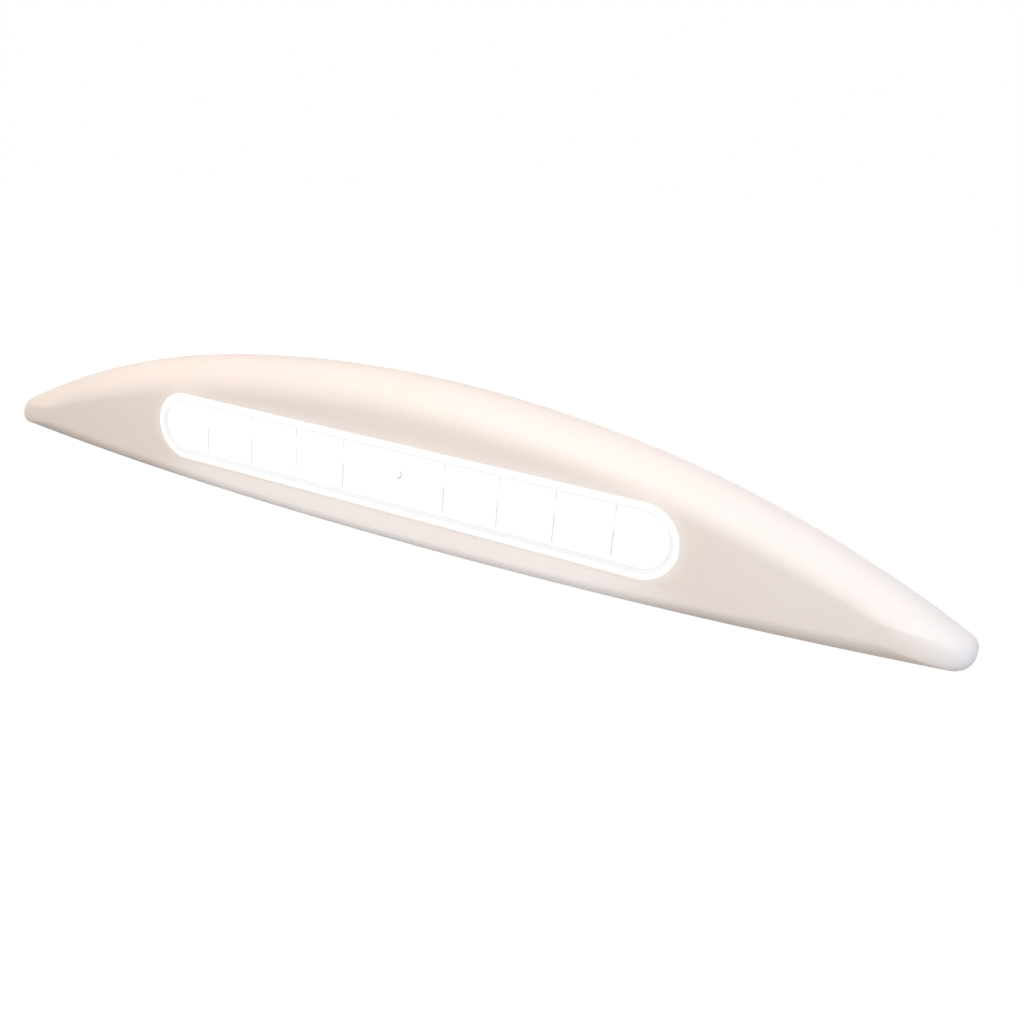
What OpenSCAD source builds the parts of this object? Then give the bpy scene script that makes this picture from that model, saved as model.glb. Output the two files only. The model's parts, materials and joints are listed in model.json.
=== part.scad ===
// Awning light: a slim crescent of moulded plastic that is screwed flat to a vehicle wall.
// Seen from the front, X runs to the right, Z up and Y into the wall.
// The origin is on the wall face, behind the middle of the window.

/* [Cover] */
// Length of the cover from nose to nose
body_l = 408; // [380:2:440]
// Depth of the lamp from its face to the wall
body_d = 16; // [15:0.5:24]
// Height of the crown above the middle of the window
crown_h = 36.4; // [34:0.2:44]
// Depth of the keel below the middle of the window
keel_h = 25.2; // [24:0.2:32]
// Radius of each nose, seen from the front
nose_r = 5.2; // [4:0.1:7]
// Drop of the nose centres below the middle of the window
nose_drop = 13.6; // [10:0.2:15]
// How much flatter the crown is than one plain arc
crown_flat = 1.12; // [1:0.01:1.2]
// Half the width of the flatter stretch at the crown
crown_half = 90; // [50:2:120]
// Wall thickness of the cover
wall = 2.2; // [1.6:0.1:3]
// Gap between the rim of the cover and the vehicle's wall
rim_gap = 0.4; // [0.2:0.1:1]

/* [Rounded edges] */
// Height of the rounded top edge, from the flat face up to the crown
top_roll = 14.4; // [11:0.2:18]
// Height of the rolled lower edge at the middle
keel_roll = 4.7; // [3:0.1:7]
// Depth of the rolled lower edge at the middle
keel_roll_d = 4; // [3:0.1:6]
// Depth of the rolled lower edge beside the noses
nose_roll_d = 8.4; // [5:0.1:11]
// Length of each nose beyond the point of the flat face
nose_l = 28; // [20:1:36]
// Rise of the face's points above the nose centres
point_rise = 3.6; // [2:0.1:5]
// Radius of the face's points
point_r = 3; // [2:0.1:4]
// Straight land behind the rounded edge, at the rim
rim_land = 1.5; // [1:0.1:2.5]
// How far the flat inside of the face reaches past the flat outside
inner_flat = 2.2; // [2.1:0.1:2.4]

/* [Window] */
// Distance from one light cell to the next
pitch = 22; // [20:0.5:24]
// Number of light cells
cells = 10; // [8:2:10]
// Reach of the window past the last cell line
window_end = 1.4; // [0.5:0.1:3]
// Height of the window
window_h = 26.2; // [24:0.2:28]
// Width of the lens rim round the clear pane
rim_w = 2.4; // [1.8:0.1:3]
// Depth of the pane behind the face
pane_in = 0.8; // [0.4:0.1:1.2]
// Thickness of the clear pane
pane_t = 2; // [1.5:0.1:2.4]
// Reach of the lens flange behind the cover
flange_w = 5; // [4.6:0.1:5.6]
// Thickness of the lens flange
flange_t = 1.5; // [1:0.1:2]
// Width of the lens seal
lens_seal_w = 1.5; // [1:0.1:1.8]
// Thickness of the lens seal
lens_seal_t = 0.8; // [0.5:0.1:1.2]
// Radius of the pins that hold the lens flange
stake_r = 0.9; // [0.7:0.05:1]

/* [Reflector] */
// Thickness of the reflector's outer frame
frame_t = 0.9; // [0.7:0.1:1.2]
// Thickness of the dividers between cells
divider_t = 0.9; // [0.7:0.1:1.4]
// Side of the opening for each light-emitting package
aperture = 8; // [6:0.5:10]
// Thickness of the reflector's sloping walls and floor
funnel_t = 1; // [0.8:0.1:1.3]

/* [Board and heat path] */
// Height of the light board
board_h = 18; // [17:0.5:20]
// Thickness of the light board
board_t = 1.6; // [1:0.1:1.8]
// Reach of the light board past the window at each end
board_over = 5.6; // [5.4:0.1:8]
// Side of a light-emitting package
package_w = 3.5; // [3:0.1:5]
// Thickness of a light-emitting package
package_t = 0.8; // [0.6:0.1:1]
// Radius of a package's glowing window
phosphor_r = 1.3; // [1:0.05:1.4]
// Thickness of the thermal pad
pad_t = 0.5; // [0.3:0.1:0.8]
// Thickness of the heat spreader
spreader_t = 1.5; // [1:0.1:1.8]
// Reach of the heat spreader past the board on every side
spreader_over = 1; // [0.5:0.1:2]
// Height of the posts that carry the heat spreader
post_h = 1.4; // [1:0.1:2]

/* [Base plate] */
// Thickness of the base plate
base_t = 2; // [1.8:0.1:2.4]
// Thickness of the rib that backs the cover seal
rib_t = 1.6; // [1.2:0.1:2]
// Height of the rib that backs the cover seal
rib_h = 2.6; // [2:0.1:3]
// Width of the cover seal
cover_seal_w = 1.6; // [1.2:0.1:2]
// Height of the cover seal
cover_seal_h = 1.8; // [1.2:0.1:1.9]
// Width of the foam gasket at the wall
gasket_w = 4; // [3:0.1:4.5]
// Thickness of the foam gasket at the wall
gasket_t = 1; // [0.6:0.1:1.2]
// Radius of the holes for the wall screws
mount_r = 2.25; // [1.75:0.25:2.5]
// Distance of the wall screws from the end of the light board
mount_out = 18; // [16:1:22]
// Height between the two rows of wall screws
mount_rows = 18; // [16:0.5:18.5]
// Drop of the middle of the wall screws below the middle of the window
mount_drop = 3; // [2:0.5:4]

/* [Fixings] */
// Distance of the outer hooks from the middle
hook_x = 90; // [80:1:100]
// Width of a hook
hook_w = 8; // [6:0.5:10]
// Depth of the catch ledges behind the face
catch_d = 8.6; // [8:0.1:9]
// Distance of the cover screws from the wall screws
cover_screw_out = 20; // [18:1:24]
// Depth of the cover screws behind the face
cover_screw_d = 8.2; // [7.8:0.1:8.3]
// Radius of a board screw's thread
screw_r = 1.25; // [1:0.05:1.4]
// Radius of a board screw's head
screw_head_r = 2.5; // [2:0.1:2.6]
// Height of a board screw's head
screw_head_h = 1.6; // [1.2:0.1:1.8]

/* [Wiring] */
// Height of the wiring above the middle of the window
wiring_z = 19; // [18.5:0.1:20]
// Distance of the cable grommet to the left of the middle
grommet_x = 62; // [60:1:70]
// Radius of the cable's passage through the grommet
cable_r = 2.6; // [2:0.1:2.8]
// Radius of the grommet's neck
grommet_r = 5; // [4.5:0.1:5.5]
// Distance of the cable clamp to the left of the middle
clamp_x = 46; // [44:1:48]
// Distance of the terminal block to the left of the middle
terminal_x = 24; // [20:1:28]
// Distance of the driver board to the right of the middle
driver_x = 40; // [38:1:44]
// Length of the driver board
driver_l = 52; // [50:0.5:56]
// Height of the driver board
driver_h = 11; // [10.6:0.1:11.6]
// Radius of the insulated inner leads
lead_r = 0.8; // [0.6:0.05:0.9]

/* [Hidden] */
$fn = 48;

// Steps of the outline: crown to nose, round the nose, and nose to keel
TOP_STEPS = 24;
NOSE_STEPS = 7;
KEEL_STEPS = 14;
// Steps of the rounded edge, outside and inside
ROLL_STEPS = 10;
INNER_STEPS = 5;
// How far a tool that cuts reaches past the face it cuts
OVER = 1;
// How far a boss sinks into the wall that carries it
ROOT = 0.6;
// Thickness of a slice that only gives a shape its end
THIN = 0.01;
// Steps along and round an insulated lead
LEAD_RINGS = 14;
LEAD_SIDES = 8;

// Fits
lens_gap = 0.2;
reflector_gap = 0.2;
seal_gap = 0.4;
base_gap = 0.3;
thread_gap = 0.05;
hole_gap = 0.2;
catch_gap = 0.2;

// Depths behind the face, from front to back
rim_d = body_d - rim_gap;
flange_d = wall + lens_seal_t;
flange_end_d = flange_d + flange_t;
pane_end_d = pane_in + pane_t;
reflector_d = pane_end_d + reflector_gap;
plate_d = body_d - base_t;
gasket_d = body_d - gasket_t;
spreader_d = plate_d - post_h - spreader_t;
pad_d = spreader_d - pad_t;
board_d = pad_d - board_t;
reflector_floor_d = board_d - funnel_t;

// Lengths along the window
window_l = cells * pitch + 2 * window_end;
board_l = window_l + 2 * board_over;
pane_l = window_l - 2 * rim_w;
pane_h = window_h - 2 * rim_w;
reflector_l = pane_l - 2 * reflector_gap;
reflector_h = pane_h - 2 * reflector_gap;
cell_h = reflector_h - 2 * frame_t;
cell_end = reflector_l / 2 - frame_t;
board_screw_in = 3.5;
board_screw_x = board_l / 2 - board_screw_in;
screw_end_gap = 0.8;

// Fixings
mount_x = board_l / 2 + mount_out;
mount_pad_r = 5;
mount_pad_h = 1.2;
cover_screw_x = mount_x + cover_screw_out;
rib_in = wall + seal_gap + cover_seal_w;
stake_head_r = stake_r + 0.7;
stake_head_h = 0.7;
stake_out = lens_seal_w + stake_head_r + lens_gap;
stake_step = cells * pitch / 5;

// Cover screw
cover_screw_r = 1.45;
cover_head_r = 2.7;
cover_head_h = 1.8;
cover_screw_l = 9;
cover_pad_r = 3.8;
cover_pad_h = 1.6;
lug_w = 9;
lug_h = 8;
lug_gap = 0.9;

// Hooks of the base plate and catch ledges of the cover
catch_t = 1.8;
hook_t = 1.6;
barb_h = 1.6;
barb_out = 1.2;
hook_clear = 0.8;
hook_drop = seal_gap + cover_seal_w + rib_t + hook_clear;

// Small screws that cut their own thread
small_screw_r = 0.9;
small_head_r = 1.7;
small_head_h = 1.2;

// Cable entry: a rubber grommet and a clamp saddle
grommet_flange_r = grommet_r + 2;
grommet_flange_t = 0.8;
clamp_post_r = 2.4;
clamp_post_h = 4;
clamp_w = 5;
clamp_t = 2.4;
clamp_screw_z = cable_r + clamp_post_r + 0.6;

// Terminal block with two brass barrels along X and four screws
terminal_l = 16;
terminal_h = 12;
terminal_t = 8;
terminal_pole = 3;
terminal_d = plate_d - 3.2;
barrel_r = 1.9;
barrel_l = 13;
barrel_bore_r = 1.1;
terminal_screw_x = 3.5;
terminal_head_r = 1.8;
terminal_head_d = plate_d - terminal_t + 2;

// Driver board on its posts
driver_t = 1.2;
driver_post_r = 1.7;
driver_post_h = 1.2;
driver_d = plate_d - driver_post_h - driver_t;
driver_screw_x = driver_l / 2 - 2.6;
driver_screw_z = driver_h / 2 - 2.1;

// Wire sockets on the driver board and on the light board
socket_l = 6;
socket_h = 5.4;
socket_t = 3.4;
socket_in = 0.6;
socket_x = driver_l / 2 - socket_l / 2 - socket_in;
socket_z = driver_h / 2 - socket_h / 2 - 0.2;
light_socket_z = board_h / 2 - 2.9;
light_socket_h = 4.6;
wire_gap = 1.4;
wire_d = driver_d - socket_t / 2;

// Parts in a row on the driver board, at equal gaps between its two sockets
diode_l = 4.3;
chip_l = 4.9;
can_w = 5.3;
edge_gap = 0.3;
resistor_h = 1.4;
resistor_gap = 0.2;
resistor_z = driver_h / 2 - edge_gap - resistor_h / 2;
core_w = 2 * resistor_z - resistor_h - 2 * resistor_gap;
row_l = driver_l - 2 * (socket_l + socket_in);
row_gap = (row_l - diode_l - chip_l - core_w - 2 * can_w) / 6;
diode_x = row_gap + diode_l / 2 - row_l / 2;
chip_x = diode_x + diode_l / 2 + row_gap + chip_l / 2;
inductor_x = chip_x + chip_l / 2 + row_gap + core_w / 2;
first_can_x = inductor_x + core_w / 2 + row_gap + can_w / 2;
can_z = driver_h / 2 - 2 * edge_gap - can_w / 2;

// The face's own outline, and how the noses draw back where the outline is set in
face_half = body_l / 2 - nose_l;
tip_draw = 2.4;
least_nose_r = 1;

function y_at(depth) = depth - body_d;
function radians(a) = a * PI / 180;
function degrees(a) = a * 180 / PI;
function smooth(t) = t * t * (3 - 2 * t);

// Radius of the arc through a crown that touches a nose circle of radius r, run away and rise below
function touching_r(run, rise, r) = (run * run + rise * rise - r * r) / (2 * (rise - r));

// Arch from a crown to a nose: [middle radius, its angle, its centre, side radius, its centre, end angle]
function arch(half, rise, r, flat, shoulder) =
    let (run = half - r,
         r1 = flat * touching_r(run, rise, r),
         a1 = asin(shoulder / r1),
         to_nose = [run, r1 - rise],
         along = [sin(a1), cos(a1)],
         reach = r1 - r,
         shift = (to_nose * to_nose - reach * reach) / (2 * (to_nose * along - reach)),
         c1 = [0, rise - r1],
         c2 = c1 + shift * along)
    [r1, a1, c1, r1 - shift, c2, atan2(run - c2.x, -c2.y)];

// Point of an arch at a share t of the way from the crown to the nose
function arch_point(a, t) =
    let (first = a[0] * radians(a[1]),
         second = a[3] * radians(a[5] - a[1]),
         s = t * (first + second),
         angle = s < first ? degrees(s / a[0]) : a[1] + degrees((s - first) / a[3]))
    s < first ? a[2] + a[0] * [sin(angle), cos(angle)] : a[4] + a[3] * [sin(angle), cos(angle)];

// Height of an arch over the nose centres, x from the middle
function arch_height(a, x) =
    x < a[0] * sin(a[1]) ? a[2].y + sqrt(a[0] * a[0] - x * x)
                         : a[4].y + sqrt(a[3] * a[3] - (x - a[4].x) * (x - a[4].x));

// Slope of an arch, in degrees, x from the middle
function arch_slope(a, x) =
    x < a[0] * sin(a[1]) ? asin(x / a[0]) : asin((x - a[4].x) / a[3]);

function mirrored(half) = concat(half, [for (i = [len(half) - 2 : -1 : 1]) [-half[i].x, half[i].y]]);

// Closed crescent of two arches and two noses, clockwise from the crown
function crescent(half, crown, keel, drop, r, flat, shoulder) =
    let (top = arch(half, crown + drop, r, flat, shoulder),
         low = arch(half, keel - drop, r, 1, 0),
         nose = [half - r, -drop],
         from = 90 - top[5],
         to = low[5] - 90)
    mirrored(concat(
        [for (i = [0 : TOP_STEPS]) arch_point(top, i / TOP_STEPS) - [0, drop]],
        [for (i = [1 : NOSE_STEPS]) let (a = from + (to - from) * i / NOSE_STEPS) nose + r * [cos(a), sin(a)]],
        [for (i = [1 : KEEL_STEPS]) let (p = arch_point(low, 1 - i / KEEL_STEPS)) [p.x, -p.y - drop]]));

// Distance that a nose draws back when the outline is set in
function tip_in(inset) = inset + tip_draw * max(0, inset - nose_r + least_nose_r);

// Outline of the cover, set in by a distance
function outline(inset) =
    crescent(body_l / 2 - tip_in(inset), crown_h - inset, keel_h - inset, nose_drop,
             max(nose_r - inset, least_nose_r), crown_flat, crown_half);

// Outline of the flat face, grown by a distance
function face_outline(grow) =
    crescent(face_half + grow, crown_h - top_roll + grow, keel_h - keel_roll + grow, nose_drop - point_rise,
             point_r + grow, 1, 0);

// Depth of the rounded edge at each point of the outline
function roll_depths() =
    let (top_d = rim_d - rim_land,
         half = concat(
             [for (i = [0 : TOP_STEPS]) [i, top_d]],
             [for (i = [1 : NOSE_STEPS]) [i, top_d + (nose_roll_d - top_d) * smooth(i / NOSE_STEPS)]],
             [for (i = [1 : KEEL_STEPS])
                 [i, keel_roll_d + (nose_roll_d - keel_roll_d) * pow(1 - i / KEEL_STEPS, 3)]]))
    [for (p = mirrored(half)) p.y];

// Ring of the rounded edge at an angle from the face, 0, to the rim, 90
function roll_ring(face, edge, depths, inset, angle) =
    [for (i = [0 : len(face) - 1])
        let (p = face[i] + (edge[i] - face[i]) * sin(angle),
             d = depths[i] - (depths[i] - inset) * cos(angle))
        [p.x, y_at(d), p.y]];

function flat_ring(edge, d) = [for (p = edge) [p.x, y_at(d), p.y]];

// Height of the cover's top and bottom edge at x
function top_arch() = arch(body_l / 2, crown_h + nose_drop, nose_r, crown_flat, crown_half);
function keel_arch() = arch(body_l / 2, keel_h - nose_drop, nose_r, 1, 0);
function top_z(x) = arch_height(top_arch(), x) - nose_drop;
function top_slope(x) = arch_slope(top_arch(), x);
function keel_z(x) = -arch_height(keel_arch(), x) - nose_drop;

// Closed skin through rings of as many points each
module skin(rings) {
    n = len(rings[0]);
    last = (len(rings) - 1) * n;
    polyhedron(
        points = [for (r = rings) each r],
        faces = concat(
            [[for (i = [0 : n - 1]) i]],
            [for (k = [0 : len(rings) - 2], i = [0 : n - 1])
                let (a = k * n + i, b = k * n + (i + 1) % n) each [[a, a + n, b + n], [a, b + n, b]]],
            [[for (i = [n - 1 : -1 : 0]) last + i]]),
        convexity = 8);
}

// Flat outline thickened between two depths behind the face
module layer(d0, d1) {
    translate([0, y_at(d1), 0]) rotate([90, 0, 0]) linear_extrude(d1 - d0) children();
}

module stadium(l, h) {
    square([l - h, h], center = true);
    for (side = [-1, 1]) translate([side * (l - h) / 2, 0]) circle(h / 2);
}

module rounded(l, h, r) {
    square([l - 2 * r, h], center = true);
    square([l, h - 2 * r], center = true);
    for (sx = [-1, 1], sy = [-1, 1]) translate([sx * (l / 2 - r), sy * (h / 2 - r)]) circle(r);
}

// Round peg or hole along Y between two depths
module peg(x, z, r, d0, d1) {
    translate([x, y_at(d0), z]) rotate([-90, 0, 0]) cylinder(r = r, h = d1 - d0);
}

// Block between two depths, centred on x and z
module block(x, z, l, h, d0, d1) {
    translate([x - l / 2, y_at(d0), z - h / 2]) cube([l, d1 - d0, h]);
}

// Screw that points along +Z, with its head below the origin and a cross recess in the head
module screw(head_r, head_h, r, l) {
    recess_w = 0.25 * head_r;
    recess_l = 1.2 * head_r;
    recess_h = 0.55 * head_h;
    difference() {
        union() {
            translate([0, 0, -head_h]) cylinder(r = head_r, h = head_h);
            cylinder(r = r, h = l);
        }
        for (turn = [0, 90]) rotate([0, 0, turn]) translate([-recess_l / 2, -recess_w / 2, -head_h - OVER])
            cube([recess_l, recess_w, recess_h + OVER]);
    }
}

module screw_at(x, z, d, l) {
    translate([x, y_at(d), z]) rotate([-90, 0, 0]) screw(screw_head_r, screw_head_h, screw_r, l);
}

// Places round the lens flange where the cover's pins come through
module at_stakes() {
    z = window_h / 2 + stake_out;
    for (i = [-2 : 2], side = [-1, 1]) translate([i * stake_step, 0, side * z]) children();
    for (side = [-1, 1]) translate([side * (window_l / 2 + stake_out), 0, 0]) children();
}

// Places on the inside of the cover's top wall where the hooks catch
module at_hooks() {
    for (side = [-1, 0, 1])
        translate([side * hook_x, 0, top_z(abs(side) * hook_x)])
            rotate([0, side * top_slope(hook_x), 0]) translate([0, 0, -wall]) children();
}

// Places of the cover screws on the underside of the cover
module at_cover_screws() {
    for (side = [-1, 1])
        translate([side * cover_screw_x, y_at(cover_screw_d), keel_z(cover_screw_x)]) children();
}

module at_mounts() {
    for (sx = [-1, 1], sz = [-1, 1]) translate([sx * mount_x, 0, sz * mount_rows / 2 - mount_drop]) children();
}

module cover_form() {
    face = face_outline(0);
    inner_face = face_outline(inner_flat);
    outer = outline(0);
    inner = outline(wall);
    depths = roll_depths();
    skin(concat(
        [for (j = [0 : ROLL_STEPS]) roll_ring(face, outer, depths, 0, 90 * j / ROLL_STEPS)],
        [flat_ring(outer, rim_d), flat_ring(inner, rim_d)],
        [for (j = [INNER_STEPS : -1 : 0]) roll_ring(inner_face, inner, depths, wall, 90 * j / INNER_STEPS)]));
}

module housing() {
    color("linen") difference() {
        union() {
            cover_form();
            at_stakes() {
                peg(0, 0, stake_r, wall - ROOT, flange_end_d);
                peg(0, 0, stake_head_r, flange_end_d, flange_end_d + stake_head_h);
            }
            at_hooks() catch_ledge();
            at_cover_screws() translate([0, 0, wall - ROOT]) cylinder(r = cover_pad_r, h = cover_pad_h + ROOT);
        }
        layer(-OVER, wall + OVER) stadium(window_l, window_h);
        at_cover_screws() {
            translate([0, 0, -OVER]) cylinder(r = cover_head_r + hole_gap, h = cover_head_h + OVER);
            cylinder(r = cover_screw_r + hole_gap, h = wall + cover_pad_h + OVER);
        }
    }
}

// Ledge inside the top wall, with its flat side towards the face
module catch_ledge() {
    reach = hook_drop - catch_gap;
    translate([-hook_w / 2 - 1, y_at(catch_d), -reach]) cube([hook_w + 2, catch_t, reach + catch_gap]);
}

module lens() {
    color("whitesmoke", 0.5) difference() {
        union() {
            layer(0, flange_end_d) stadium(window_l - 2 * lens_gap, window_h - 2 * lens_gap);
            layer(flange_d, flange_end_d) stadium(window_l + 2 * flange_w, window_h + 2 * flange_w);
        }
        layer(-OVER, pane_in) stadium(pane_l, pane_h);
        layer(pane_end_d, flange_end_d + OVER) stadium(pane_l, pane_h);
        at_stakes() peg(0, 0, stake_r + thread_gap, flange_d - OVER, flange_end_d + OVER);
    }
}

module lens_seal() {
    color("dimgray") layer(wall, flange_d) difference() {
        stadium(window_l + 2 * lens_seal_w + 2 * lens_gap, window_h + 2 * lens_seal_w + 2 * lens_gap);
        stadium(window_l + 2 * lens_gap, window_h + 2 * lens_gap);
    }
}

// Sloping-sided well: front opening and back opening given as [left, right, half height]
module well(front, back, d0, d1, past) {
    function at(share) = front + (back - front) * share;
    share = past / (d1 - d0);
    a = at(-share);
    b = at(1 + share);
    ya = y_at(d0 - past);
    yb = y_at(d1 + past);
    polyhedron(
        points = [[a[0], ya, -a[2]], [a[1], ya, -a[2]], [a[1], ya, a[2]], [a[0], ya, a[2]],
                  [b[0], yb, -b[2]], [b[1], yb, -b[2]], [b[1], yb, b[2]], [b[0], yb, b[2]]],
        faces = [[3, 2, 1, 0], [4, 5, 6, 7], [0, 1, 5, 4], [1, 2, 6, 5], [2, 3, 7, 6], [3, 0, 4, 7]]);
}

// Front opening of an end cell, square at the divider and round at the end of the window
module end_opening(set_out, grow) {
    from = (cells / 2 - 1) * pitch + divider_t / 2 - grow;
    round_x = cell_end - cell_h / 2;
    round_r = cell_h / 2 + set_out;
    translate([round_x, 0]) circle(round_r, $fn = 32);
    translate([from, -round_r]) square([round_x - from, 2 * round_r]);
}

// Well of an end cell, sloping from its front opening to the package's
module end_well(set_out, grow, past) {
    package_x = (cells / 2 - 0.5) * pitch;
    back_w = aperture + 2 * grow;
    hull() {
        layer(reflector_d, reflector_d + THIN) end_opening(set_out, grow);
        block(package_x, 0, back_w, back_w, board_d - THIN, board_d);
    }
    layer(reflector_d - past, reflector_d + THIN) end_opening(set_out, grow);
    block(package_x, 0, back_w, back_w, board_d - THIN, board_d + past);
}

// All the wells between the end cells: grown by a wall thickness for the outside, plain for the inside
module wells(grow, past) {
    overlap = 0.2;
    set_out = grow > 0 ? frame_t / 2 : 0;
    side = grow > 0 ? -overlap : divider_t / 2;
    half_open = aperture / 2 + grow;
    for (i = [1 : cells / 2 - 2], m = [-1, 1]) {
        middle = m * (i + 0.5) * pitch;
        well([middle - pitch / 2 + side, middle + pitch / 2 - side, cell_h / 2 + set_out],
             [middle - half_open, middle + half_open, half_open], reflector_d, board_d, past);
    }
    well([-pitch + side, pitch - side, cell_h / 2 + set_out],
         [-pitch / 2 - half_open, pitch / 2 + half_open, half_open],
         reflector_d, grow > 0 ? board_d : reflector_floor_d, grow > 0 ? past : 0);
}

module reflector() {
    past = 0.5;
    color("white") difference() {
        union() {
            layer(reflector_d, board_d) difference() {
                stadium(reflector_l, reflector_h);
                stadium(reflector_l - 2 * frame_t, reflector_h - 2 * frame_t);
            }
            wells(funnel_t, 0);
            for (m = [0, 1]) mirror([m, 0, 0]) end_well(frame_t / 2, funnel_t, 0);
        }
        wells(0, past);
        layer(reflector_d - past, reflector_d + THIN) square([2 * pitch - divider_t, cell_h], center = true);
        for (m = [0, 1]) mirror([m, 0, 0]) end_well(0, 0, past);
        for (m = [-1, 1]) block(m * pitch / 2, 0, aperture, aperture, reflector_floor_d - past, board_d + past);
        peg(0, 0, screw_r + hole_gap, reflector_floor_d - past, board_d + past);
    }
}

module reflector_screw() {
    color("silver") screw_at(0, 0, reflector_floor_d, body_d - screw_end_gap - reflector_floor_d);
}

module at_packages() {
    for (i = [0 : cells - 1]) translate([(i - (cells - 1) / 2) * pitch, 0, 0]) children();
}

module led_packages() {
    cup_t = package_t / 2;
    color("ivory") at_packages() difference() {
        block(0, 0, package_w, package_w, board_d - package_t, board_d);
        peg(0, 0, phosphor_r, board_d - package_t - OVER, board_d - package_t + cup_t);
    }
}

module led_phosphors() {
    cup_t = package_t / 2;
    color("lightyellow") at_packages() peg(0, 0, phosphor_r, board_d - package_t, board_d - package_t + cup_t);
}

// Strip behind the window with the three screw holes
module strip(l, h, corner, d0, d1) {
    layer(d0, d1) difference() {
        rounded(l, h, corner);
        for (x = [-board_screw_x, 0, board_screw_x]) translate([x, 0]) circle(screw_r + hole_gap);
    }
}

module led_board() {
    color("white") strip(board_l, board_h, 1, board_d, pad_d);
}

module thermal_pad() {
    pad_in = 1;
    color("lightsteelblue") strip(board_l - 2 * pad_in, board_h - 2 * pad_in, 1, pad_d, spreader_d);
}

module heat_spreader() {
    over = 2 * spreader_over;
    color("silver") strip(board_l + over, board_h + over, 2, spreader_d, plate_d - post_h);
}

module board_screws() {
    color("silver") for (side = [-1, 1])
        screw_at(side * board_screw_x, 0, board_d, body_d - screw_end_gap - board_d);
}

// Hook that rises from the base plate and catches behind a ledge of the cover
module hook() {
    tip_d = catch_d - barb_h;
    translate([-hook_w / 2, y_at(tip_d), -hook_drop - hook_t]) cube([hook_w, plate_d + ROOT - tip_d, hook_t]);
    translate([-hook_w / 2, y_at(tip_d), -hook_drop - hook_t]) cube([hook_w, barb_h, hook_t + barb_out]);
}

// Lug of the base plate that takes a cover screw
module screw_lug() {
    foot = wall + cover_pad_h + lug_gap;
    front = cover_pad_r;
    translate([-lug_w / 2, -front, foot]) cube([lug_w, plate_d + ROOT - cover_screw_d + front, lug_h]);
}

module base_plate() {
    post_r = 3.5;
    pilot_r = screw_r + thread_gap;
    pilot_end_d = body_d - screw_end_gap / 2;
    color("whitesmoke") difference() {
        union() {
            layer(plate_d, gasket_d) polygon(outline(wall + base_gap));
            layer(gasket_d, body_d) polygon(outline(wall + base_gap + gasket_w));
            layer(plate_d - rib_h, plate_d) difference() {
                polygon(outline(rib_in));
                polygon(outline(rib_in + rib_t));
            }
            for (x = [-board_screw_x, 0, board_screw_x]) peg(x, 0, post_r, plate_d - post_h, plate_d + ROOT);
            at_mounts() peg(0, 0, mount_pad_r, plate_d - mount_pad_h, plate_d + ROOT);
            at_driver_screws() peg(0, 0, driver_post_r, plate_d - driver_post_h, plate_d + ROOT);
            at_clamp_screws() peg(0, 0, clamp_post_r, plate_d - clamp_post_h, plate_d + ROOT);
            at_hooks() hook();
            at_cover_screws() screw_lug();
        }
        for (x = [-board_screw_x, 0, board_screw_x]) peg(x, 0, pilot_r, plate_d - post_h - OVER, pilot_end_d);
        at_mounts() peg(0, 0, mount_r, plate_d - mount_pad_h - OVER, body_d + OVER);
        at_driver_screws() peg(0, 0, small_screw_r + thread_gap, plate_d - driver_post_h - OVER, gasket_d);
        at_clamp_screws() peg(0, 0, small_screw_r + thread_gap, plate_d - clamp_post_h - OVER, gasket_d);
        at_cover_screws() cylinder(r = cover_screw_r + thread_gap, h = cover_screw_l + cover_head_h + hole_gap);
        peg(-grommet_x, wiring_z, grommet_r, plate_d - OVER, body_d + OVER);
        peg(-grommet_x, wiring_z, grommet_flange_r, body_d - grommet_flange_t, body_d + OVER);
    }
}

module cover_seal() {
    color("dimgray") layer(plate_d - cover_seal_h, plate_d) difference() {
        polygon(outline(wall + seal_gap));
        polygon(outline(rib_in));
    }
}

module wall_gasket() {
    color("gray") layer(gasket_d, body_d) difference() {
        polygon(outline(wall + base_gap));
        polygon(outline(wall + base_gap + gasket_w));
    }
}

module cover_screws() {
    color("silver") at_cover_screws() translate([0, 0, cover_head_h])
        screw(cover_head_r, cover_head_h, cover_screw_r, cover_screw_l);
}

module cable_grommet() {
    color("black") difference() {
        union() {
            peg(-grommet_x, wiring_z, grommet_r, plate_d - grommet_flange_t, body_d);
            peg(-grommet_x, wiring_z, grommet_flange_r, plate_d - grommet_flange_t, plate_d);
            peg(-grommet_x, wiring_z, grommet_flange_r, body_d - grommet_flange_t, body_d);
        }
        peg(-grommet_x, wiring_z, cable_r, plate_d - grommet_flange_t - OVER, body_d + OVER);
    }
}

module small_screw_at(x, z, d, l) {
    translate([x, y_at(d), z]) rotate([-90, 0, 0]) screw(small_head_r, small_head_h, small_screw_r, l);
}

module at_clamp_screws() {
    for (side = [-1, 1]) translate([-clamp_x, 0, wiring_z + side * clamp_screw_z]) children();
}

module cable_clamp() {
    top_d = plate_d - clamp_post_h;
    color("white") difference() {
        layer(top_d - clamp_t, top_d) translate([-clamp_x, wiring_z])
            rotate(90) stadium(2 * clamp_screw_z + 2 * clamp_post_r, clamp_w);
        translate([-clamp_x, y_at(plate_d - cable_r), wiring_z]) rod_x(cable_r, clamp_w + 2 * OVER);
        at_clamp_screws() peg(0, 0, small_screw_r + hole_gap, top_d - clamp_t - OVER, top_d + OVER);
    }
}

module clamp_screws() {
    head_d = plate_d - clamp_post_h - clamp_t;
    color("silver") at_clamp_screws() small_screw_at(0, 0, head_d, gasket_d - thread_gap - head_d);
}

module at_poles() {
    for (side = [-1, 1]) translate([-terminal_x, y_at(terminal_d), wiring_z + side * terminal_pole]) children();
}

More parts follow.
